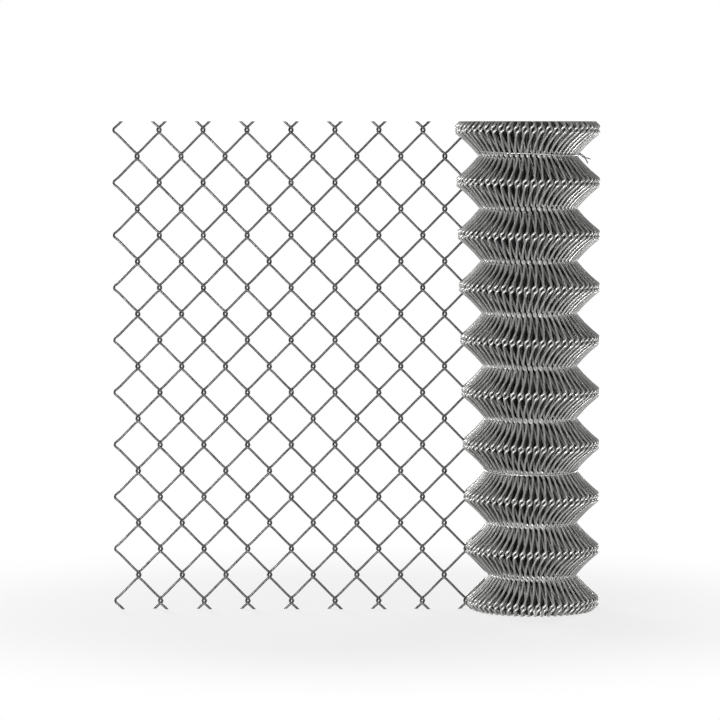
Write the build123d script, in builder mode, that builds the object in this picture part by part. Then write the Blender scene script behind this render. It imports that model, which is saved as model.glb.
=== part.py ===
from build123d import *
import os
from math import asin, atan, ceil, cos, degrees, hypot, pi, sin, sqrt, tan

# Chain-link mesh, partly unrolled: a flat stretch of hooked spiral wires that runs
# into an upright compact roll. All sizes are millimetres, +Z up, the flat stretch
# lies in the XZ plane and the origin is the bottom centre of the whole object.

# The mesh
mesh_height_pitch = 78.0
column_pitch = 32.6
pitch_count = 9
wire_diameter = 3.5
clearance = 0.3
knuckle_rise = 1.5
selvage = 12.7
flat_wire_count = 16

# The roll
roll_radius = 102.0
roll_lean = 6.0
roll_spread = 5.5
outer_lap_places = 52
outer_lap_groups = 6
lap_count = 5
lap_step = 11.0
inner_sectors = 6
facets_per_sector = 2

# The two tie wires, at waist rows counted from the bottom
tie_thickness = 2.0
tie_facets = 24
upper_tie_row = 17
lower_tie_row = 5
tie_end_out = 16.0
tie_end_drop = 11.0

# A square bar with the cross-section area of the round wire stands for each wire
side = wire_diameter * sqrt(pi) / 2
half_diagonal = side * sqrt(2) / 2
reach = half_diagonal + clearance / 2

row_step = mesh_height_pitch / 2
row_count = 2 * pitch_count + 1
total_height = 2 * selvage + pitch_count * mesh_height_pitch
depth = column_pitch + 2 * reach
roll_waist = roll_radius - depth
flat_width = flat_wire_count * column_pitch
strand = hypot(depth, row_step)
overrun = side

# X of the free edge, worked out so that the object is centred on the origin
total_width = reach + flat_width + 2 * roll_radius
left_column = -total_width / 2 + reach
last_column = left_column + flat_width
roll_axis = last_column + roll_radius


def row_height(row):
    """Height of a knuckle row, even rows on the rings and odd rows on the waists."""
    return selvage + row * row_step


def spiral_points(x_left, x_right, ring_on_left):
    """Path of one flattened spiral, bottom to top, front strands at -Y.

    Going up, it comes to its left knuckles in front and leaves behind, and it
    comes to its right knuckles behind and leaves in front.
    """
    points = []
    for row in range(row_count):
        on_left = (row % 2 == 0) == ring_on_left
        x = x_left - reach if on_left else x_right + reach
        y = -reach if on_left else reach
        z = row_height(row)
        points.append((x, y, z - knuckle_rise))
        points.append((x, -y, z + knuckle_rise))
    # The cut ends go on past the first and last knuckle, in line with a strand, and
    # the lower one runs under the floor, where it is trimmed later
    slope = (x_right - x_left + 2 * reach) / (row_step - 2 * knuckle_rise)
    toward = slope if ring_on_left else -slope
    first, last = points[0], points[-1]
    drop = first[2] + overrun
    rise = total_height - last[2] - half_diagonal
    start = (first[0] + toward * drop, first[1], -overrun)
    finish = (last[0] + toward * rise, last[1], last[2] + rise)
    return [start] + points + [finish]


def roll_point(angle, radius, z):
    """A point on the roll, which leans to -X and spreads towards its top."""
    share = z / total_height
    wide = radius + roll_spread * share
    x = roll_axis - roll_lean * share + wide * cos(angle)
    return (x, wide * sin(angle), z)


def zigzag_points(ring_angle, waist_angle):
    """Path of one folded wire of the outer lap, from ring to waist and back."""
    corners = [
        roll_point(ring_angle, roll_radius, row_height(row))
        if row % 2 == 0
        else roll_point(waist_angle, roll_waist, row_height(row))
        for row in range(row_count)
    ]

    def end_point(share, z):
        angle = ring_angle + share * (waist_angle - ring_angle)
        return roll_point(angle, roll_radius - share * depth, z)

    start = end_point((selvage + overrun) / row_step, -overrun)
    finish = end_point((selvage - half_diagonal) / row_step, total_height - half_diagonal)
    return [start] + corners + [finish]


def sweep_bar(points, width, side_direction):
    """A square bar with mitred corners along a line of straight runs."""
    with BuildLine():
        path = Polyline(*points)
    with BuildSketch(Plane(path @ 0, x_dir=side_direction, z_dir=path % 0)) as section:
        Rectangle(width, width)
    sweep(section.sketch, path=path, transition=Transition.RIGHT)


os.makedirs("parts", exist_ok=True)

# Flat stretch: each spiral hooks into the one before it along their common column
for index in range(flat_wire_count):
    x = left_column + index * column_pitch
    with BuildPart() as mesh_wire:
        sweep_bar(spiral_points(x, x + column_pitch, index % 2 == 0), side, (0, 1, 0))
        split(bisect_by=Plane.XY)
    mesh_wire.part.label = f"mesh_wire_{index + 1:02d}"
    export_step(mesh_wire.part, f"parts/{mesh_wire.part.label}.step")

# The first wire of the roll still lies in the flat stretch's plane and turns inwards
with BuildPart() as roll_entry_wire:
    sweep_bar(spiral_points(last_column, last_column + column_pitch, True), side, (0, 1, 0))
    split(bisect_by=Plane.XY)
roll_entry_wire.part.label = "roll_entry_wire"
export_step(roll_entry_wire.part, "parts/roll_entry_wire.step")

# Outer lap: wires stand nearly radial, hooked in pairs on the rings and, with the
# other neighbour, on the waists
place_angle = 2 * pi / outer_lap_places
places_per_group = ceil(outer_lap_places / outer_lap_groups)
tip = side / 2 * strand / row_step


def pair_shift(radius, far_radius):
    """Half the angle between two hooked wires whose corners meet at a radius."""
    slope = atan((far_radius * sin(place_angle) - side) / depth)
    half_gap = side / 2 / cos(slope) + tip * tan(slope) + clearance / 2
    return half_gap / radius


ring_shift = pair_shift(roll_radius, roll_waist)
waist_shift = pair_shift(roll_waist, roll_radius)

for group in range(outer_lap_groups):
    with BuildPart() as outer_lap:
        # Place 0 is the entry wire, and the last place has turned in to the next lap
        first_place = max(1, group * places_per_group)
        end_place = min(outer_lap_places - 1, (group + 1) * places_per_group)
        for place in range(first_place, end_place):
            odd = place % 2 == 1
            ring = (place + 1 if odd else place) * place_angle
            waist = (place if odd else place + 1) * place_angle
            ring_angle = ring - ring_shift if odd else ring + ring_shift
            waist_angle = waist + waist_shift if odd else waist - waist_shift
            if place == 1:
                waist_angle = asin((reach + 2 * half_diagonal + clearance) / roll_waist)
            points = zigzag_points(pi + ring_angle, pi + waist_angle)
            inward = Vector(points[2]) - Vector(points[1])
            sweep_bar(points, side, inward.cross(Vector(0, 0, 1)))
        split(bisect_by=Plane.XY)
    outer_lap.part.label = f"roll_outer_lap_{group + 1}"
    export_step(outer_lap.part, f"parts/{outer_lap.part.label}.step")

# The laps inside it lie too close to tell apart, so sectors with the folded outside of
# the second lap and the folded inside of the last one stand for them. They clear the
# last flat wire's knuckles, which reach in between the outer wires
nest_ring = roll_radius - reach - half_diagonal - clearance
core_ring = nest_ring - (lap_count - 1) * lap_step
facet_count = inner_sectors * facets_per_sector
nest_taper = degrees(atan(depth * cos(pi / facet_count) / row_step))


def ring_fold(ring_radius):
    """The solid inside one ring of the folded mesh, from waist to waist."""
    with BuildPart() as fold:
        with BuildSketch(Plane((roll_axis, 0, row_height(0)))):
            RegularPolygon(ring_radius, facet_count)
        extrude(amount=row_step, taper=nest_taper)
        mirror(about=Plane((roll_axis, 0, row_height(0))))
    return fold.part


ring_rows = [(0, 0, row * row_step) for row in range(0, row_count, 2)]
nest_fold = ring_fold(nest_ring)
core_fold = ring_fold(core_ring)

with BuildPart() as inner_mass:
    with Locations(*ring_rows):
        add(nest_fold)
    with Locations(*ring_rows):
        add(core_fold, mode=Mode.SUBTRACT)
    with BuildSketch(Plane((roll_axis, 0, 0))):
        Circle(2 * nest_ring)
    extrude(amount=total_height, mode=Mode.INTERSECT)

sector_angle = 2 * pi / inner_sectors
apex_shift = clearance / 2 / sin(sector_angle / 2)
for sector in range(inner_sectors):
    middle = pi + (sector + 0.5) * sector_angle
    apex = Vector(roll_axis + apex_shift * cos(middle), apex_shift * sin(middle))
    corners = [apex]
    for angle in (middle - sector_angle / 2, middle + sector_angle / 2):
        corners.append(apex + Vector(cos(angle), sin(angle)) * 2 * nest_ring)
    with BuildPart() as inner_laps:
        add(inner_mass.part)
        with BuildSketch():
            Polygon(*corners, align=None)
        extrude(amount=total_height, mode=Mode.INTERSECT)
    inner_laps.part.label = f"roll_inner_laps_{sector + 1}"
    export_step(inner_laps.part, f"parts/{inner_laps.part.label}.step")


def tie_ring(row, end_angle):
    """A wire tied round a waist, with its loose end hanging clear of the mesh."""
    z = row_height(row)
    centre = Vector(roll_point(0, 0, z)) - Vector(roll_spread * z / total_height, 0, 0)
    slope = depth / row_step
    inside = roll_waist + roll_spread * z / total_height + tip + tie_thickness / 2 * slope + clearance
    with BuildSketch(Plane(centre - Vector(0, 0, tie_thickness / 2))) as band:
        RegularPolygon(inside + tie_thickness, tie_facets, major_radius=False)
        RegularPolygon(inside, tie_facets, major_radius=False, mode=Mode.SUBTRACT)
    extrude(band.sketch, amount=tie_thickness)
    outward = Vector(cos(end_angle), sin(end_angle), 0)
    root = centre + outward * (inside + tie_thickness / 2)
    tip_point = root + outward * tie_end_out - Vector(0, 0, tie_end_drop)
    sweep_bar([root, tip_point], tie_thickness, (-sin(end_angle), cos(end_angle), 0))


with BuildPart() as tie_wire_upper:
    tie_ring(upper_tie_row, 0)
tie_wire_upper.part.label = "tie_wire_upper"
export_step(tie_wire_upper.part, "parts/tie_wire_upper.step")

with BuildPart() as tie_wire_lower:
    tie_ring(lower_tie_row, pi / 2)
tie_wire_lower.part.label = "tie_wire_lower"
export_step(tie_wire_lower.part, "parts/tie_wire_lower.step")
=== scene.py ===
# %% [markdown]
# A partly unrolled roll of chain-link mesh. Galvanised wire is bent into flattened
# spirals, each spiral is screwed into the one before it, and most of the finished
# length is folded like an accordion and wound into an upright roll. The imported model
# is loaded first, because every piece made here stands in the place that it gives.

# %% Load the frame
import math
import random

import bpy
import numpy as np
from mathutils import Matrix, Vector


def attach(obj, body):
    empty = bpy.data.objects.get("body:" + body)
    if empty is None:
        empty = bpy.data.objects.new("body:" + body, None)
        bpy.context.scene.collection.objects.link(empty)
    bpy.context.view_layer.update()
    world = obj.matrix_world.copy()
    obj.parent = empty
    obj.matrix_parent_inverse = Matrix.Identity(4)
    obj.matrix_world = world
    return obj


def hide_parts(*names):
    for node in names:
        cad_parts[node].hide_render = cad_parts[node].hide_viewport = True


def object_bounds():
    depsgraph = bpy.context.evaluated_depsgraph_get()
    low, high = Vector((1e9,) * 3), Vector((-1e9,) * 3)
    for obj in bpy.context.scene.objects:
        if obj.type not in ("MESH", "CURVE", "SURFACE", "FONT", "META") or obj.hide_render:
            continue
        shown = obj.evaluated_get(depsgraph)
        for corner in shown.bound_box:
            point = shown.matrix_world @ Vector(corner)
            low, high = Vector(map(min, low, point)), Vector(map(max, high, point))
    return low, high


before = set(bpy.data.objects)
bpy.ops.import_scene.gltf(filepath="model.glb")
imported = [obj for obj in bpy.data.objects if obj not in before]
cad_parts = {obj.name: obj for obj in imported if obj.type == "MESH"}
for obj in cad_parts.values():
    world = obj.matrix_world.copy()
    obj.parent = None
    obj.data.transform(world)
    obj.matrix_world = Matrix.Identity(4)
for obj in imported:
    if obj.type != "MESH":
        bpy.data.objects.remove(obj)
cad_low, cad_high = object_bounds()
print("frame box", tuple(cad_low), tuple(cad_high))

# %% [markdown]
# The sizes that the whole mesh follows, in metres. A knuckle is the place where two
# spirals hook into one another. Knuckles stand in columns, and going up a column they
# come at every second row, so that neighbouring columns make the diamonds. A wire's
# centre line goes past its column by the reach, so that two hooked wires stay clear of
# one another, and above the last row the wire ends in a short selvage.

# %% Sizes of the mesh
WIRE = 0.0035
REACH = 0.00255
COLUMN = 0.0326
ROW = 0.039
ROWS = 19
SELVAGE = 0.0127
HEIGHT = 2 * SELVAGE + (ROWS - 1) * ROW
FLAT_WIRES = 16
FREE_EDGE = 0.0045
LEFT_COLUMN = cad_low.x + FREE_EDGE
print("mesh", round(HEIGHT, 4), "high, first column at", round(LEFT_COLUMN, 4))

# %% [markdown]
# A spiral is drawn as the bending machine makes it, as one line of control points: two
# corners at each knuckle, where the wire crosses from one face of the mesh to the
# other, and a point on each side of them where the strand becomes straight. A smooth
# curve through these points rounds the bends, and its round bevel is the wire. A Screw
# modifier makes spirals too, but only round ones without straight strands. The same
# line with other numbers gives the tight spirals of the roll, whose strands are bowed
# because they press against one another. The line runs on past both ends, where it is
# cut off later.

# %% The path of one spiral
OVERRUN = 0.006
FLAT_RISE = 0.0024
FLAT_EASE = 0.0056


def spiral_path(
        first_left, front_rises, rise, left_ease, right_ease,
        column=COLUMN, belly=1.0, bow=0.0, blunt=0.0):
    """Control points of one spiral, bottom to top, its left column at x = 0.

    front_rises is 1 where the near strands climb to the right and -1 where they climb
    to the left. rise is half of what the wire climbs in crossing a knuckle. The eases
    say how far from a knuckle a strand becomes straight, belly how far its middle
    stands out, as a share of its depth at the knuckles, bow how far its middle is
    pushed towards the right column, and blunt how far the bends of the right column
    fall short of it.
    """
    points = []
    low, high = -REACH, column + REACH
    run = (high - low) / ROW
    for row in range(ROWS):
        on_left = (row % 2 == 0) == first_left
        x, inward = (low, 1) if on_left else (high, -1)
        ease = left_ease if on_left else right_ease
        z = SELVAGE + row * ROW
        before = (REACH if on_left else -REACH) * front_rises
        bend = x if on_left else x - blunt
        points.append((x + inward * run * ease, before, z - ease))
        points.append((bend, before, z - rise))
        points.append((bend, -before, z + rise))
        points.append((x + inward * run * ease, -before, z + ease))
        if row < ROWS - 1:
            points.append(((low + high) / 2 + bow, -before * belly, z + ROW / 2))
    first, last = points[0], points[-1]
    toward = run if first_left else -run
    toward_end = toward if ROWS % 2 == 1 else -toward
    drop, rest = first[2] + OVERRUN, HEIGHT + OVERRUN - last[2]
    start = (first[0] + toward * drop, first[1], -OVERRUN)
    finish = (last[0] + toward_end * rest, last[1], HEIGHT + OVERRUN)
    return [start] + points + [finish]


flat_paths = [
    spiral_path(first_left, -1, FLAT_RISE, FLAT_EASE, FLAT_EASE)
    for first_left in (True, False)
]
print("control points of a spiral", len(flat_paths[0]))


# %% [markdown]
# A wire's own marks, such as the lines that the drawing die leaves, follow it round
# every bend. Object coordinates would cut straight through the bends, so each point of
# the wire keeps its place on the straight wire, before it was bent, as an attribute,
# and the materials read that. A second attribute says how near a point is to a knuckle,
# where the wires rub one another bright. In the roll it is strongest at the waists, and
# there the brightness is partly real rubbing and partly a painted highlight on knuckles
# that lie in the shade of the folds.

# %% Mark the places on a wire
RUB_LENGTH = 0.0065


def mark_wire(mesh, sides, thickness, rubbed):
    """Stores the marks of a tube with so many sides, and returns its straight length.

    rubbed gives how bright the even and the odd rows of knuckles are made: rubbed wear,
    and at the roll's waists also a painted highlight.
    """
    points = np.empty(len(mesh.vertices) * 3)
    mesh.vertices.foreach_get("co", points)
    rings = points.reshape(-1, sides, 3)
    middles = rings.mean(axis=1)
    gaps = np.linalg.norm(np.diff(middles, axis=0), axis=1)
    along = np.concatenate([[0], gaps.cumsum()])
    angle = np.arange(sides) * 2 * math.pi / sides
    straight = np.empty_like(rings)
    straight[:, :, 0] = np.cos(angle) * thickness / 2
    straight[:, :, 1] = np.sin(angle) * thickness / 2
    straight[:, :, 2] = along[:, None]
    places = mesh.attributes.new("straight", "FLOAT_VECTOR", "POINT")
    places.data.foreach_set("vector", straight.ravel())
    share = (middles[:, 2] - SELVAGE) / ROW
    row = share.round()
    off = np.abs(share - row) * ROW
    near = np.clip(1 - off / RUB_LENGTH, 0, 1) * np.where(row % 2 == 0, *rubbed)
    knuckles = mesh.attributes.new("knuckle", "FLOAT", "POINT")
    knuckles.data.foreach_set("value", np.repeat(near, sides))
    return float(along[-1])


# %% [markdown]
# The path becomes wire in one go. A curve with a round bevel is a tube of the right
# thickness all the way, which a circle pushed along the bends by hand would not be, and
# it is converted to a mesh because only a mesh can be cut, marked and joined.

# %% Turn a path into wire
def draw_wire(name, path, thickness, ring, steps, rubbed):
    """An open round tube along a smooth line, as a mesh that knows its straight shape.

    ring is how finely the wall is rounded, and steps how finely the line is.
    """
    bpy.ops.object.select_all(action="DESELECT")
    bpy.ops.curve.primitive_nurbs_path_add(location=(0, 0, 0))
    wire = bpy.context.object
    wire.name = name
    curve = wire.data
    curve.splines.clear()
    spline = curve.splines.new("NURBS")
    spline.points.add(len(path) - 1)
    for point, place in zip(spline.points, path):
        point.co = (*place, 1)
    spline.order_u = 3
    spline.use_endpoint_u = True
    spline.resolution_u = steps
    curve.bevel_depth = thickness / 2
    curve.bevel_resolution = ring
    bpy.ops.object.convert(target="MESH")
    wire.data.name = name
    length = mark_wire(wire.data, 4 + 2 * ring, thickness, rubbed)
    print(name, "length", round(length, 3), "faces", len(wire.data.polygons))
    return wire


# %% [markdown]
# Every wire is finished in the same way. The mesh is cut off level at both ends with
# Bisect, which also closes the wire with a flat face, as a saw would leave it. Copies
# get a mesh of their own with their place put into it, and lie at another length of the
# coil, so that no two have the same marks. The round wall is then shaded smooth and
# the flat ends are not.

# %% Cut, copy and finish a wire
CUT_MARGIN = 0.00001
END_ANGLE = math.radians(60)


def select_only(*pieces):
    """Leaves nothing selected but these pieces, and makes the first one active."""
    bpy.ops.object.select_all(action="DESELECT")
    for piece in pieces:
        piece.select_set(True)
    bpy.context.view_layer.objects.active = pieces[0]


def trim_wire(wire):
    """Cuts the wire off at the floor and a hair below the frame's top."""
    select_only(wire)
    bpy.ops.object.mode_set(mode="EDIT")
    for height, lower, upper in ((0.0, True, False), (HEIGHT - CUT_MARGIN, False, True)):
        bpy.ops.mesh.select_all(action="SELECT")
        bpy.ops.mesh.bisect(
            plane_co=(0, 0, height), plane_no=(0, 0, 1), threshold=1e-6,
            use_fill=True, clear_inner=lower, clear_outer=upper,
        )
    bpy.ops.object.mode_set(mode="OBJECT")


def copy_wire(source, name, matrix, shift):
    """A copy with its place in its mesh, cut from the coil of wire at the shift."""
    copy = source.copy()
    copy.data = source.data.copy()
    copy.name = name
    copy.data.name = name
    copy.data.transform(matrix)
    marks = copy.data.attributes["straight"].data
    places = np.empty(len(marks) * 3, dtype=np.float32)
    marks.foreach_get("vector", places)
    places[2::3] += shift
    marks.foreach_set("vector", places)
    bpy.context.scene.collection.objects.link(copy)
    return copy


def finish_wire(piece, low_node):
    """Shades the wall smooth and the cut ends flat, and ties the piece to a node."""
    select_only(piece)
    bpy.ops.object.shade_smooth_by_angle(angle=END_ANGLE)
    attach(piece, "root")
    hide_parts(low_node)


def remove(piece):
    """Takes away a model that only its copies were needed of."""
    mesh = piece.data
    bpy.data.objects.remove(piece)
    bpy.data.meshes.remove(mesh)


# %% [markdown]
# The flat stretch needs only two spirals, one that starts with a knuckle on its left
# and one that starts on its right. All the others are copies, one column apart. An
# Array modifier would do this in one step, but each spiral is a piece of its own in the
# frame. The last of them already belongs to the roll and stands where the mesh meets it.

# %% The flat stretch
COIL_LENGTH = 50
random.seed(11)
flat_models = []
for path in flat_paths:
    model = draw_wire("flat_model", path, WIRE, ring=4, steps=2, rubbed=(0.15, 0.15))
    trim_wire(model)
    flat_models.append(model)

flat_pieces = []
for index in range(FLAT_WIRES + 1):
    node = "roll_entry_wire" if index == FLAT_WIRES else f"mesh_wire_{index + 1:02d}"
    name = node.replace("wire", "spiral")
    place = Matrix.Translation((LEFT_COLUMN + index * COLUMN, 0, 0))
    wire = copy_wire(flat_models[index % 2], name, place, random.uniform(0, COIL_LENGTH))
    finish_wire(wire, node)
    flat_pieces.append(wire)
for model in flat_models:
    remove(model)
print("flat spirals", len(flat_pieces))

# %% [markdown]
# In the roll the mesh is closed up like an accordion. Every spiral stands on edge,
# nearly pointing at the roll's centre: its outer knuckles make the bulging rings and
# its inner ones the narrow waists. Two spirals share each ring knuckle and, with the
# other neighbour, each waist knuckle. Closing the mesh screws one of them up and the
# other down by about a wire's thickness, which is why the knuckles show in two rows.
# The roll isn't a true cylinder either: it opens out and leans towards the flat
# stretch as it goes up, so each spiral is tipped outwards and the whole roll sheared.
# A modifier that bends flat mesh into a roll would squash the round wire, so a matrix
# turns each spiral into its place instead.

# %% Sizes of the roll
ROLL_FOOT = 0.2592
ROLL_LEAN = 0.0098
ROLL_RAISE = 0.0012
OUTER_RING = 0.0950
OPENING = 0.0090
ROLL_COLUMN = 0.0340
OUTER_PAIRS = 55
LAPS = 5
LAP_STEP = 0.011
WAIST_PITCH = 0.0068
PAIR_RISE = 0.0031
CROSS_LEAN = 0.03
OUTER_SKEW = 0.06
INNER_SKEW = -0.15
tip_out = Matrix.Rotation(-math.atan(OPENING / HEIGHT), 4, "Y")
lean_over = Matrix.Identity(4)
lean_over[0][2] = -ROLL_LEAN / HEIGHT
lean_over.translation.x = ROLL_FOOT
print("tipped out by", round(math.degrees(math.atan(OPENING / HEIGHT)), 2), "degrees")


def fold_of(ring, pairs):
    """Radius of the waist axes and lean of each spiral, for a lap of folded mesh."""
    half = math.pi / pairs
    depth = math.sqrt(ROLL_COLUMN**2 - (ring * math.sin(half)) ** 2)
    waist = ring * math.cos(half) - depth
    return waist, math.asin(waist * math.sin(half) / ROLL_COLUMN)


def place_spiral(angle, ring, lean, twist, rise):
    """Matrix that stands the model on edge at an angle round the roll."""
    middle = Matrix.Translation((ROLL_COLUMN / 2, 0, 0))
    twisted = middle @ Matrix.Rotation(twist, 4, "Z") @ middle.inverted()
    centre = Vector((ring * math.cos(angle), ring * math.sin(angle), rise))
    turn = Matrix.Rotation(angle + math.pi + lean, 4, "Z")
    return lean_over @ Matrix.Translation(centre) @ turn @ tip_out @ twisted


# %% [markdown]
# One folded spiral is modelled, once with a smooth wall for the outer lap and once with
# a plain one for the laps behind it, of which only slivers show. Each copy is turned
# and raised a little by chance, as no two folds of a real roll lie quite alike. The
# inner laps are wound tighter, so their spirals lean over and close the gaps.

# %% The folded spiral
ROLL_RISE = 0.0018
RING_EASE = 0.0056
WAIST_EASE = 0.005
roll_path = spiral_path(
    True, 1, ROLL_RISE, RING_EASE, WAIST_EASE,
    column=ROLL_COLUMN, belly=1.6, bow=0.002, blunt=0.0028)
# The waists, the odd rows, are rubbed fully: partly wear, partly a painted highlight.
fine_model = draw_wire("fine_model", roll_path, WIRE, ring=2, steps=2, rubbed=(0.15, 1.0))
plain_model = draw_wire("plain_model", roll_path, WIRE, ring=1, steps=1, rubbed=(0.1, 0.4))

# %% [markdown]
# The laps are wound one inside the other. The first pair of the outer lap is left out,
# because the last spiral of the flat stretch already stands there. The frame divides
# the outer lap by its 52 places, nine to a piece, and the laps inside into six equal
# sectors, so each spiral goes on the list of the piece that it belongs to.

# %% Wind the laps
PIECES_ROUND = 6
OUTER_PLACES = 52
PLACES_IN_PIECE = 9
GROUP_ANGLE = 2 * math.pi * PLACES_IN_PIECE / OUTER_PLACES
SECTOR_ANGLE = 2 * math.pi / PIECES_ROUND
TURN_SCATTER = 0.012
RISE_SCATTER = 0.0004


def wind_lap(model, ring, pairs, first_pair, offset, skew, piece_angle, lists):
    """Stands a lap's spirals round the roll, each on the list of its own piece."""
    waist, lean = fold_of(ring, pairs)
    for pair in range(first_pair, pairs):
        turn = 2 * math.pi * (pair + offset) / pairs
        for side in (-1, 1):
            twist = -side * CROSS_LEAN + skew + random.gauss(0, TURN_SCATTER)
            rise = ROLL_RAISE + side * PAIR_RISE + random.gauss(0, RISE_SCATTER)
            place = place_spiral(math.pi + turn, ring, -side * lean, twist, rise)
            wire = copy_wire(model, "roll_wire", place, random.uniform(0, COIL_LENGTH))
            lists[int(turn / piece_angle) % PIECES_ROUND].append(wire)
    print("lap of", pairs, "pairs, ring", round(ring, 4), "waist", round(waist, 4))


outer_wires = [[] for _ in range(PIECES_ROUND)]
inner_wires = [[] for _ in range(PIECES_ROUND)]
ring = OUTER_RING
wind_lap(fine_model, ring, OUTER_PAIRS, 1, 0, OUTER_SKEW, GROUP_ANGLE, outer_wires)
for lap in range(1, LAPS):
    ring -= LAP_STEP
    pairs = round(2 * math.pi * (ring - ROLL_COLUMN) / WAIST_PITCH)
    offset = random.random()
    wind_lap(plain_model, ring, pairs, 0, offset, INNER_SKEW, SECTOR_ANGLE, inner_wires)
remove(fine_model)
remove(plain_model)


# %% [markdown]
# The spirals on a list are joined into one mesh, which takes the place of one piece of
# the frame. They are cut only now, because a spiral that is tipped outwards is cut
# level with the floor and not square to itself.

# %% Join the laps into the pieces of the frame
def join_laps(kind, lists):
    """One finished piece for each list of spirals."""
    pieces = []
    for number, wires in enumerate(lists, 1):
        select_only(*wires)
        bpy.ops.object.join()
        piece = wires[0]
        piece.name = f"{kind}_{number}"
        piece.data.name = piece.name
        trim_wire(piece)
        finish_wire(piece, f"roll_{piece.name}")
        pieces.append(piece)
        print(piece.name, "wires", len(wires), "faces", len(piece.data.polygons))
    return pieces


outer_pieces = join_laps("outer_lap", outer_wires)
inner_pieces = join_laps("inner_laps", inner_wires)

# %% [markdown]
# Two soft wires hold the roll shut. Each is pulled round a waist, its ends are twisted
# together with pliers and the rest sticks out. The path starts at one loose end, winds
# in through the twist, goes once round the roll and winds out again beside itself. A
# torus would be too even for a wire that was bent by hand, so the path has small waves.

# %% The path of a tie wire
TIE_WIRE = 0.0019
TIE_STEPS = 60
WAVES_OUT = ((0.0003, 7, 0), (0.0002, 11, 1))
WAVES_DOWN = ((0.0004, 5, 0),)
TWIST_OUT = 0.016
TWIST_DOWN = 0.011
TWIST_STEPS = 11
TWIST_STEP = 0.0009
TWIST_TURN = 2 * math.pi * 0.15
TWIST_RADIUS = TIE_WIRE * 0.52
TWIST_LENGTH = 0.0105
LOOSE_REACHES = (0.0135, 0.0165, 0.0185)
LOOSE_SPREAD = 0.45
LOOSE_ASIDE = 0.4
LOOSE_CURL = 18


def waves(kinds, angle):
    """Small waves at an angle, each with its size, its number in a turn and its start."""
    return sum(size * math.sin(count * angle + start) for size, count, start in kinds)


def tie_round(centre, radius, out_angle, sag, slant):
    """The part of a tie wire that goes once round the roll."""
    points = []
    for step in range(1, TIE_STEPS):
        angle = out_angle + 2 * math.pi * step / TIE_STEPS
        wide = radius + waves(WAVES_OUT, angle)
        drop = slant * math.cos(angle) - sag * math.sin(angle) + waves(WAVES_DOWN, angle)
        points.append(
            centre + Vector((wide * math.cos(angle), wide * math.sin(angle), -drop)))
    return points


def tie_strand(root, axis, across, beside, start, flare):
    """One of the two strands of the twist, with its loose end."""
    points = []
    for step in range(TWIST_STEPS):
        turn = start + TWIST_TURN * step
        offset = across * math.cos(turn) + beside * math.sin(turn)
        points.append(root + axis * TWIST_STEP * (step + 1) + offset * TWIST_RADIUS)
    for reach_out in LOOSE_REACHES:
        past = reach_out - TWIST_LENGTH
        spread = past * LOOSE_SPREAD * flare
        curl = past**2 * LOOSE_CURL
        points.append(
            root + axis * reach_out + across * spread * LOOSE_ASIDE
            + beside * spread - Vector((0, 0, curl)))
    return points


def tie_path(radius, height, out_angle, sag, slant):
    """Control points of one tie wire, from loose end to loose end."""
    centre = Vector((ROLL_FOOT - ROLL_LEAN * height / HEIGHT, 0, height))
    outward = Vector((math.cos(out_angle), math.sin(out_angle), 0))
    across = Vector((-math.sin(out_angle), math.cos(out_angle), 0))
    axis = (outward * TWIST_OUT - Vector((0, 0, TWIST_DOWN))).normalized()
    beside = axis.cross(across)
    root = centre + outward * (radius + TIE_WIRE / 2)
    inward_strand = tie_strand(root, axis, across, beside, 0, 1)
    outward_strand = tie_strand(root, axis, across, beside, math.pi, -1)
    around = tie_round(centre, radius, out_angle, sag, slant)
    return inward_strand[::-1] + around + outward_strand


# %% [markdown]
# The upper wire is pulled tight and lies a little lower on the right, where its twist
# is. The lower one sags in front, and its twist is at the back. Their ends stand free,
# so the open tubes are closed with a face at each end.

# %% Tie wires
def make_tie(name, radius, height, out_angle, sag, slant):
    """A tie wire with closed ends, in the place of its node."""
    path = tie_path(radius, height, out_angle, sag, slant)
    tie = draw_wire(f"tie_{name}", path, TIE_WIRE, ring=3, steps=4, rubbed=(0.0, 0.0))
    bpy.ops.object.mode_set(mode="EDIT")
    bpy.ops.mesh.select_all(action="DESELECT")
    bpy.ops.mesh.select_non_manifold()
    bpy.ops.mesh.edge_face_add()
    bpy.ops.object.mode_set(mode="OBJECT")
    finish_wire(tie, f"tie_wire_{name}")
    return tie


tie_pieces = [
    make_tie("upper", 0.0752, 0.6800, out_angle=0.0, sag=0.0002, slant=0.0030),
    make_tie("lower", 0.0703, 0.2090, out_angle=math.pi / 2, sag=0.0018, slant=0.0),
]


# %% [markdown]
# Materials. Zinc from a hot bath looks flat only from far away: it has soft grey
# flowers, long thin lines where the wire was pulled through the die, bright rubbed
# spots where wires touch, and dust that settles on what faces up. Each of these is an
# effect that all the wires share, so each is a node group with a few inputs. First come
# the helpers that every node tree here is made with.

# %% Helpers for node trees
def new_group(name, inputs, outputs):
    """An empty shader node group with number inputs and the outputs that are named."""
    group = bpy.data.node_groups.new(name, "ShaderNodeTree")
    kind = "NodeSocketFloat"
    for label, value in inputs.items():
        socket = group.interface.new_socket(label, in_out="INPUT", socket_type=kind)
        socket.default_value = value
    for label in outputs:
        group.interface.new_socket(label, in_out="OUTPUT", socket_type=kind)
    return group, group.nodes.new("NodeGroupInput"), group.nodes.new("NodeGroupOutput")


def add_node(tree, kind, inputs, **settings):
    """A node with these settings, its inputs linked to sockets or given values."""
    node = tree.nodes.new(kind)
    for label, value in settings.items():
        setattr(node, label, value)
    for label, value in inputs.items():
        if isinstance(value, bpy.types.NodeSocket):
            tree.links.new(value, node.inputs[label])
        else:
            node.inputs[label].default_value = value
    return node


def add_math(tree, operation, first, second=0.0, clamp=False):
    """The result of a Math node on sockets or plain numbers."""
    inputs = {0: first, 1: second}
    node = add_node(tree, "ShaderNodeMath", inputs, operation=operation, use_clamp=clamp)
    return node.outputs[0]


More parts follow.
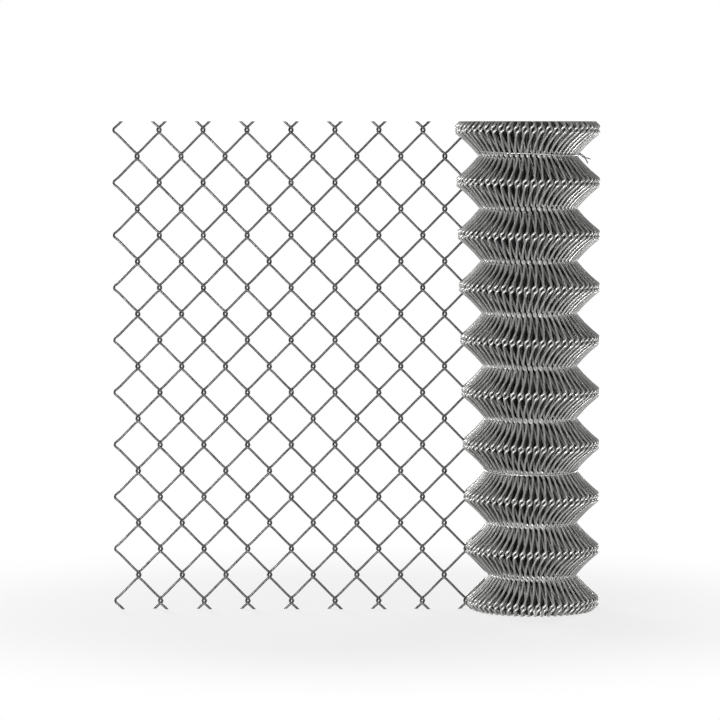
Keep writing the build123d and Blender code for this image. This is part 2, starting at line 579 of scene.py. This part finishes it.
def add_range(tree, value, low, high, to_low=0.0, to_high=1.0):
    """The result of a Map Range node with a soft step."""
    inputs = {
        "Value": value, "From Min": low, "From Max": high,
        "To Min": to_low, "To Max": to_high,
    }
    node = add_node(tree, "ShaderNodeMapRange", inputs, interpolation_type="SMOOTHSTEP")
    return node.outputs[0]


# %% [markdown]
# Drawing lines. Noise on the straight wire, stretched fifty times along it, gives the
# fine scratches of the die. A slower noise makes them come and go. A picture of
# scratches would blur close up, and noise doesn't.

# %% Node group for the drawing lines
die_lines, inputs, outputs = new_group(
    "die_lines", {"Fineness": 2200.0, "Stretch": 0.02}, ["Lines"])
place = add_node(die_lines, "ShaderNodeAttribute", {}, attribute_name="straight")
squeeze = add_node(
    die_lines, "ShaderNodeCombineXYZ",
    {"X": 1.0, "Y": 1.0, "Z": inputs.outputs["Stretch"]})
stretched = add_node(
    die_lines, "ShaderNodeVectorMath",
    {0: place.outputs["Vector"], 1: squeeze.outputs[0]}, operation="MULTIPLY")
scratches = add_node(
    die_lines, "ShaderNodeTexNoise",
    {"Vector": stretched.outputs[0], "Scale": inputs.outputs["Fineness"], "Detail": 3.0})
slow = add_node(
    die_lines, "ShaderNodeTexNoise", {"Vector": place.outputs["Vector"], "Scale": 60.0})
fading = add_range(die_lines, slow.outputs["Fac"], 0.35, 0.65)
sharp = add_range(die_lines, scratches.outputs["Fac"], 0.4, 0.65)
lines = add_math(die_lines, "MULTIPLY", fading, sharp)
die_lines.links.new(lines, outputs.inputs["Lines"])
print("die_lines nodes", len(die_lines.nodes))

# %% [markdown]
# Zinc flowers. Zinc crystals grow as flat cells, each with its own grey. A Voronoi
# texture gives a colour per cell, and its red part is a chance number for the tone.
# Longer clouds on top are lengths of wire that came out of the bath duller.

# %% Node group for the zinc flowers
zinc_flowers, inputs, outputs = new_group(
    "zinc_flowers", {"Flower Scale": 330.0, "Cloud Scale": 28.0}, ["Tone", "Cells"])
place = add_node(zinc_flowers, "ShaderNodeAttribute", {}, attribute_name="straight")
cells = add_node(
    zinc_flowers, "ShaderNodeTexVoronoi",
    {"Vector": place.outputs["Vector"], "Scale": inputs.outputs["Flower Scale"]})
chance = add_node(zinc_flowers, "ShaderNodeSeparateColor", {0: cells.outputs["Color"]})
clouds = add_node(
    zinc_flowers, "ShaderNodeTexNoise",
    {"Vector": place.outputs["Vector"], "Scale": inputs.outputs["Cloud Scale"],
     "Detail": 4.0})
cloud = add_range(zinc_flowers, clouds.outputs["Fac"], 0.3, 0.7)
cell_part = add_math(zinc_flowers, "MULTIPLY", chance.outputs[0], 0.45)
cloud_part = add_math(zinc_flowers, "MULTIPLY", cloud, 0.55)
tone = add_math(zinc_flowers, "ADD", cell_part, cloud_part, clamp=True)
zinc_flowers.links.new(tone, outputs.inputs["Tone"])
zinc_flowers.links.new(chance.outputs[0], outputs.inputs["Cells"])
print("zinc_flowers nodes", len(zinc_flowers.nodes))

# %% [markdown]
# Wear and sheen. Dust lies on what faces up, more in some places than in others. The
# rubbed spots come from the knuckle attribute, broken up by noise; at the roll's waists
# they are partly a painted highlight.

# %% Node group for wear and sheen: dust, and rubbed spots that are partly painted highlight
wear_and_sheen, inputs, outputs = new_group(
    "wear_and_sheen", {"Dust Amount": 0.5, "Rub Amount": 1.0}, ["Dust", "Rub", "Cut"])
surface = add_node(wear_and_sheen, "ShaderNodeNewGeometry", {})
facing = add_node(wear_and_sheen, "ShaderNodeSeparateXYZ", {0: surface.outputs["Normal"]})
spot = add_node(wear_and_sheen, "ShaderNodeTexCoord", {})
blotches = add_node(
    wear_and_sheen, "ShaderNodeTexNoise",
    {"Vector": spot.outputs["Object"], "Scale": 45.0, "Detail": 5.0})
upward = add_range(wear_and_sheen, facing.outputs["Z"], 0.1, 0.9)
patchy = add_range(wear_and_sheen, blotches.outputs["Fac"], 0.4, 0.7)
dust = add_math(wear_and_sheen, "MULTIPLY", upward, patchy)
dust = add_math(wear_and_sheen, "MULTIPLY", dust, inputs.outputs["Dust Amount"], clamp=True)
wear_and_sheen.links.new(dust, outputs.inputs["Dust"])
near = add_node(wear_and_sheen, "ShaderNodeAttribute", {}, attribute_name="knuckle")
broken = add_range(wear_and_sheen, blotches.outputs["Fac"], 0.3, 0.6, 0.5, 1.0)
rub = add_math(wear_and_sheen, "MULTIPLY", near.outputs["Fac"], broken)
rub = add_math(wear_and_sheen, "MULTIPLY", rub, inputs.outputs["Rub Amount"], clamp=True)
wear_and_sheen.links.new(rub, outputs.inputs["Rub"])
print("wear_and_sheen nodes", len(wear_and_sheen.nodes))

# %% [markdown]
# The saw-cut ends have lost their zinc. They could have a material of their own, but a
# mask is simpler: they are flat, face straight up or down and lie at the ends of the
# mesh, so the same group finds them by their normal and their height.

# %% Node group for wear: cut ends
CUT_ZONE = 0.0004
level = add_math(wear_and_sheen, "ABSOLUTE", facing.outputs["Z"])
flat_face = add_range(wear_and_sheen, level, 0.985, 0.999)
object_place = add_node(
    wear_and_sheen, "ShaderNodeSeparateXYZ", {0: spot.outputs["Object"]})
from_middle = add_math(wear_and_sheen, "SUBTRACT", object_place.outputs["Z"], HEIGHT / 2)
from_middle = add_math(wear_and_sheen, "ABSOLUTE", from_middle)
end_zone = add_range(
    wear_and_sheen, from_middle, HEIGHT / 2 - CUT_ZONE, HEIGHT / 2 - CUT_ZONE / 2)
cut = add_math(wear_and_sheen, "MULTIPLY", flat_face, end_zone)
wear_and_sheen.links.new(cut, outputs.inputs["Cut"])
print("wear_and_sheen nodes with the cut ends", len(wear_and_sheen.nodes))


# %% [markdown]
# The finishes. All are metal with a tone that wanders between a dull and a bright grey,
# and zinc has a thin chalky skin, so none is a pure mirror. The flat stretch and the
# laps inside the roll are darker copies of the same zinc, with painted shade in their
# greys, and the outside of the roll is a lighter copy, with painted light in its greys.
# The tie wire is softer and smoother, with finer die lines. One function makes all
# four, so that they differ only in their values.

# %% The finish of a wire
DUST_COLOUR = (0.30, 0.28, 0.25, 1)
CUT_COLOUR = (0.23, 0.17, 0.13, 1)
BUMP_DEPTH = 0.00003


def lay_colours(tree, ground, layers):
    """A colour with others laid over it, each through its own mask."""
    colour = ground
    for mask, layer in layers:
        inputs = {"Factor": mask, "A": colour, "B": layer}
        mix = add_node(tree, "ShaderNodeMix", inputs, data_type="RGBA")
        colour = mix.outputs["Result"]
    return colour


def wire_material(
        name, dull, bright, rub_and_sheen_colour, rough, metal, edge,
        fineness, flower, dust, rub):
    """Galvanised wire: a metal whose colour, roughness and bump come from the groups."""
    material = bpy.data.materials.new(name)
    material.use_nodes = True
    tree = material.node_tree
    shader = tree.nodes["Principled BSDF"]
    shader.inputs["Specular Tint"].default_value = (edge, edge, edge, 1)
    lines = add_node(
        tree, "ShaderNodeGroup", {"Fineness": fineness}, node_tree=die_lines)
    flowers = add_node(
        tree, "ShaderNodeGroup", {"Flower Scale": flower}, node_tree=zinc_flowers)
    wear = add_node(
        tree, "ShaderNodeGroup", {"Dust Amount": dust, "Rub Amount": rub},
        node_tree=wear_and_sheen)

    colour = lay_colours(tree, dull, (
        (flowers.outputs["Tone"], bright),
        (wear.outputs["Rub"], rub_and_sheen_colour),
        (wear.outputs["Dust"], DUST_COLOUR),
        (wear.outputs["Cut"], CUT_COLOUR),
    ))
    tree.links.new(colour, shader.inputs["Base Color"])

    grey = add_math(tree, "MULTIPLY", flowers.outputs["Tone"], -0.12)
    grey = add_math(tree, "ADD", grey, rough + 0.06)
    for mask, rougher in (
        (lines.outputs["Lines"], 0.10),
        (wear.outputs["Dust"], 0.35),
        (wear.outputs["Cut"], 0.3),
    ):
        part = add_math(tree, "MULTIPLY", mask, rougher)
        grey = add_math(tree, "ADD", grey, part, clamp=True)
    tree.links.new(grey, shader.inputs["Roughness"])
    covered = add_math(tree, "SUBTRACT", 1.0, wear.outputs["Dust"], clamp=True)
    shine = add_math(tree, "MULTIPLY", covered, metal)
    tree.links.new(shine, shader.inputs["Metallic"])

    cells_height = add_math(tree, "MULTIPLY", flowers.outputs["Cells"], 0.35)
    height = add_math(tree, "SUBTRACT", cells_height, lines.outputs["Lines"])
    bump = add_node(
        tree, "ShaderNodeBump",
        {"Distance": BUMP_DEPTH, "Strength": 0.6, "Height": height})
    tree.links.new(bump.outputs[0], shader.inputs["Normal"])
    print(name, "nodes", len(tree.nodes))
    return material


# %% [markdown]
# The colours are the base greys of the metal, from its dull to its bright places. The
# outside of the roll is several times brighter than the flat stretch: its greys are
# painted light, and the darker greys of the flat stretch and of the inner laps are
# painted shade. Edge is how much light the wire throws back at its rims, and it is kept
# low, as weathered zinc has no glassy rim.

# %% Wire materials
# Painted shade: the flat stretch's zinc gets darker base greys than the roll's.
painted_shade_flat_zinc = wire_material(
    "painted_shade_flat_wire", dull=(0.045, 0.046, 0.047, 1), bright=(0.12, 0.121, 0.122, 1),
    rub_and_sheen_colour=(0.25, 0.25, 0.25, 1), rough=0.38, metal=0.8, edge=0.4,
    fineness=2200, flower=330, dust=0.4, rub=0.7)
# Painted light: the roll's outside gets lighter base greys, and its near-white rub colour
# is partly a painted highlight on the waists.
painted_light_roll_zinc = wire_material(
    "painted_light_roll_wire", dull=(0.27, 0.272, 0.266, 1), bright=(0.50, 0.502, 0.490, 1),
    rub_and_sheen_colour=(0.85, 0.85, 0.84, 1), rough=0.34, metal=0.7, edge=0.4,
    fineness=2200, flower=330, dust=0.5, rub=1.0)
# Painted shade: the laps inside the roll get dark base greys.
painted_shade_inner_zinc = wire_material(
    "painted_shade_inner_wire", dull=(0.06, 0.061, 0.06, 1), bright=(0.14, 0.141, 0.139, 1),
    rub_and_sheen_colour=(0.3, 0.3, 0.3, 1), rough=0.42, metal=0.7, edge=0.3,
    fineness=2200, flower=330, dust=0.5, rub=0.3)
tie_zinc = wire_material(
    "soft_tie_wire", dull=(0.32, 0.32, 0.32, 1), bright=(0.58, 0.58, 0.57, 1),
    rub_and_sheen_colour=(0.6, 0.6, 0.6, 1), rough=0.34, metal=0.8, edge=0.6,
    fineness=3600, flower=500, dust=0.3, rub=0.0)
for pieces, material in (
    (flat_pieces, painted_shade_flat_zinc), (outer_pieces, painted_light_roll_zinc),
    (inner_pieces, painted_shade_inner_zinc), (tie_pieces, tie_zinc),
):
    for piece in pieces:
        piece.data.materials.clear()
        piece.data.materials.append(material)
    print(material.name, "on", len(pieces), "pieces")

# %% [markdown]
# The floor is plain and pale. To the camera and in reflections most of it is its own
# white, so that it melts into the background, and near the object enough of the lit
# surface is kept for the soft shadow to show.

# %% Floor
FLOOR_SIZE = 12
FLOOR_DROP = 0.0002
bpy.ops.object.select_all(action="DESELECT")
bpy.ops.mesh.primitive_plane_add(size=FLOOR_SIZE, location=(0, 0, -FLOOR_DROP))
floor = bpy.context.object
floor.name = "floor"
floor_material = bpy.data.materials.new("pale_floor")
floor_material.use_nodes = True
tree = floor_material.node_tree
lit = tree.nodes["Principled BSDF"]
lit.inputs["Base Color"].default_value = (0.85, 0.85, 0.85, 1)
lit.inputs["Roughness"].default_value = 0.9
glow = add_node(tree, "ShaderNodeEmission", {})
ray = add_node(tree, "ShaderNodeLightPath", {})
spot = add_node(tree, "ShaderNodeTexCoord", {})
distance = add_node(
    tree, "ShaderNodeVectorMath", {0: spot.outputs["Object"]}, operation="LENGTH")
fade = add_range(tree, distance.outputs["Value"], 0.35, 0.9, 0.75, 1.0)
seen = add_math(
    tree, "MAXIMUM", ray.outputs["Is Camera Ray"], ray.outputs["Is Glossy Ray"])
share = add_math(tree, "MULTIPLY", fade, seen)
mix = add_node(
    tree, "ShaderNodeMixShader", {"Fac": share, 1: lit.outputs[0], 2: glow.outputs[0]})
tree.links.new(mix.outputs[0], tree.nodes["Material Output"].inputs["Surface"])
floor.data.materials.append(floor_material)
print("floor", FLOOR_SIZE, "wide at", round(floor.location.z, 4))

# %% [markdown]
# The world is a white room to the camera and a dim one to the lighting. Metal mirrors
# the white room too, but the room is darker in front, on the camera's side, and above,
# and that is what gives round wire its dark middle and its pale edges.

# %% World
world = bpy.data.worlds.new("studio")
bpy.context.scene.world = world
world.use_nodes = True
tree = world.node_tree
dim = tree.nodes["Background"]
dim.inputs["Color"].default_value = (0.92, 0.93, 0.95, 1)
dim.inputs["Strength"].default_value = 0.2
direction = add_node(tree, "ShaderNodeTexCoord", {})
parts = add_node(tree, "ShaderNodeSeparateXYZ", {0: direction.outputs["Generated"]})
front = add_math(tree, "MULTIPLY", parts.outputs["Y"], -1.0)
dark_front = add_range(tree, front, 0.2, 0.9, 1.0, 0.3)
dark_above = add_range(tree, parts.outputs["Z"], 0.2, 0.8, 1.0, 0.4)
mirrored = add_math(tree, "MULTIPLY", dark_front, dark_above)
ray = add_node(tree, "ShaderNodeLightPath", {})
level = add_node(
    tree, "ShaderNodeMix",
    {"Factor": ray.outputs["Is Glossy Ray"], "A": 1.0, "B": mirrored}, data_type="FLOAT")
white = add_node(
    tree, "ShaderNodeBackground", {"Color": level.outputs[0], "Strength": 1.0})
seen = add_math(
    tree, "MAXIMUM", ray.outputs["Is Camera Ray"], ray.outputs["Is Glossy Ray"])
mix = add_node(
    tree, "ShaderNodeMixShader", {"Fac": seen, 1: dim.outputs[0], 2: white.outputs[0]})
tree.links.new(mix.outputs[0], tree.nodes["World Output"].inputs["Surface"])
print("world nodes", len(tree.nodes))

# %% [markdown]
# Six soft boxes. Half of the roll's strands face the floor, so two flat boxes stand in
# front on the left and on the right, just off the ground, and reach under the folds.
# The right one is smaller and gives harder shadows. A weak box high on the left lights
# the strands that face up, and a small one beside the camera reaches in to the rubbed
# spots of the waists. The last two stand behind the mesh. The camera hardly sees their
# light, but from the back it shows the folds as clearly as from the front.

# %% Lamps
MESH_MIDDLE = Vector((0.15, 0, 0.4))


def soft_box(name, place, size, power):
    """An area lamp that looks at the middle of the mesh."""
    bpy.ops.object.light_add(type="AREA", location=place)
    lamp = bpy.context.object
    lamp.name = name
    lamp.data.shape = "RECTANGLE"
    lamp.data.size, lamp.data.size_y = size
    lamp.data.energy = power
    toward = MESH_MIDDLE - Vector(place)
    lamp.rotation_euler = toward.to_track_quat("-Z", "Y").to_euler()
    print(name, power, "W from", round(toward.length, 2))


soft_box("box_high_left", place=(-1.2, -1.7, 1.5), size=(0.7, 0.7), power=5)
soft_box("box_low_left", place=(-1.0, -2.2, 0.1), size=(0.8, 0.2), power=62)
soft_box("box_low_right", place=(1.8, -1.8, 0.1), size=(0.4, 0.15), power=22)
soft_box("box_front", place=(0.3, -3.2, 0.5), size=(0.4, 0.4), power=10)
soft_box("box_back_left", place=(-1.1, 2.2, 0.5), size=(0.8, 0.8), power=45)
soft_box("box_back_right", place=(1.6, 2.0, 0.3), size=(0.8, 0.4), power=45)

# %% [markdown]
# The photograph's vertical edges stay upright and its ring rows sag towards the bottom,
# so the camera stands far off, level with the roll's top, with a long lens.

# %% Camera
DISTANCE = 5.3
FRAME_WIDTH = 1.0717
SENSOR = 36
LOOK_DOWN = math.radians(3.7)
AIM = Vector((0.0015, 0, 0.3729))
back = Vector((0, -math.cos(LOOK_DOWN), math.sin(LOOK_DOWN)))
bpy.ops.object.camera_add(location=AIM + back * DISTANCE)
camera = bpy.context.object
camera.rotation_euler = (-back).to_track_quat("-Z", "Y").to_euler()
camera.data.sensor_width = SENSOR
camera.data.lens = SENSOR * DISTANCE / FRAME_WIDTH
camera.data.clip_end = 50
bpy.context.scene.camera = camera
bpy.context.scene.view_settings.view_transform = "Standard"
print("camera at", tuple(round(part, 3) for part in camera.location))

# %% [markdown]
# The frame's box is printed again for the record.

# %% Sizes for the record
print("cad", tuple(cad_low), tuple(cad_high))
